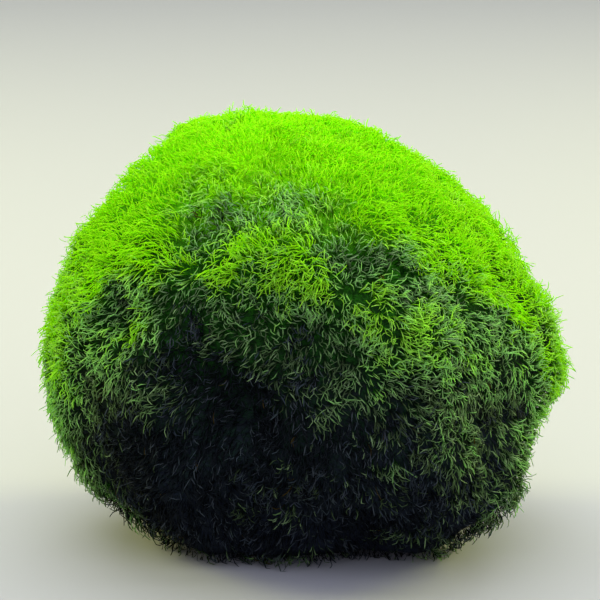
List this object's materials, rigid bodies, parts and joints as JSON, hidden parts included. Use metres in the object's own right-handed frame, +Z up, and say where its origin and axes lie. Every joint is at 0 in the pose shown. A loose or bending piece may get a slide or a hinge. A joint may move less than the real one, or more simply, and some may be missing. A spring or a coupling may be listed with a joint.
{
  "type": "marimo moss ball",
  "caption": "Living ball of branched green filamentous alga, slightly flattened, resting on a small flat spot; loose decoration for an aquarium or water jar.",
  "frame": {"origin": "on the flat spot, at the bottom centre of the ball's box", "axes": "+Z up; the pictured side faces -Y and +X is to its right; X is the widest way across and Z the shortest"},
  "size_m": [0.052, 0.0498, 0.042],
  "materials": {
    "moss": "matt, dense soft filaments, lime green at the tips and dark blue-green deep in the mat"
  },
  "bodies": {
    "root": {"moss_ball": "moss"}
  },
  "joints": []
}
